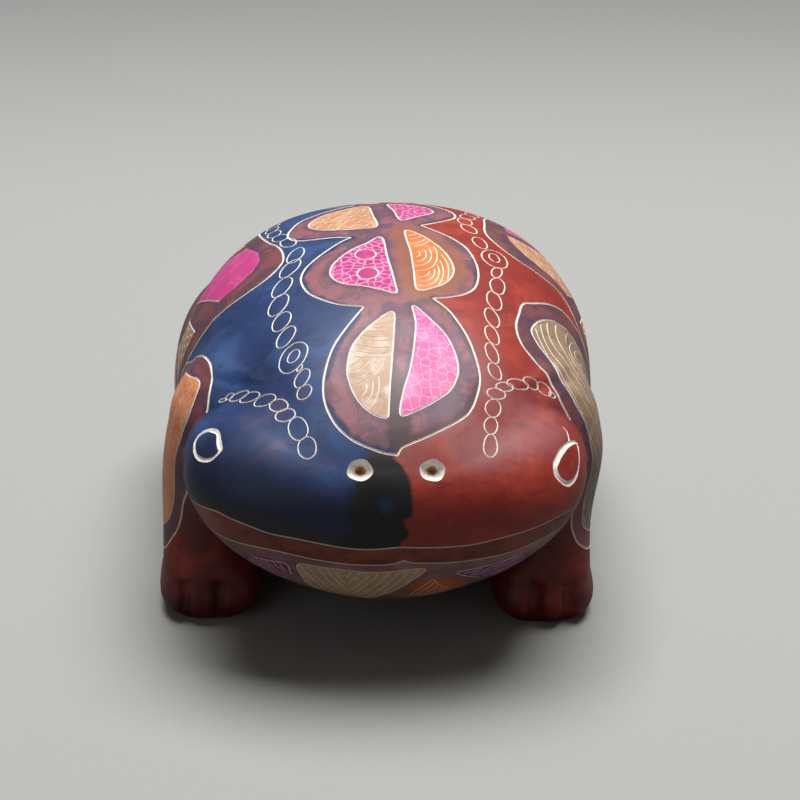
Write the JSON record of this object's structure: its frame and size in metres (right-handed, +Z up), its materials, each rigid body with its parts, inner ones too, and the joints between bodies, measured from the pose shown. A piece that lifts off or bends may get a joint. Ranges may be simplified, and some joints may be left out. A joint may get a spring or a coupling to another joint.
{
  "type": "frog figurine",
  "caption": "Squat carved soapstone frog ornament with domed back, wide mouth, drilled nostrils, cut eye rings and toed feet, dyed and waxed, with scratched leaf and chain patterns.",
  "frame": {"origin": "on the table under the middle of the frog", "axes": "+Z up, the frog faces -Y, so its own left is +X"},
  "size_m": [0.0862, 0.116, 0.0655],
  "materials": {
    "red_dye": "dyed and waxed, satin",
    "navy_dye": "dyed and waxed, satin",
    "plum_dye": "dyed and waxed, satin",
    "tan_dye": "dyed and waxed, satin"
  },
  "bodies": {
    "root": {"body": "navy_dye", "head": "red_dye", "lower_jaw": "plum_dye", "left_foreleg": "red_dye", "right_foreleg": "red_dye", "left_thigh": "tan_dye", "right_thigh": "tan_dye", "left_hind_foot": "red_dye", "right_hind_foot": "red_dye"}
  },
  "joints": []
}
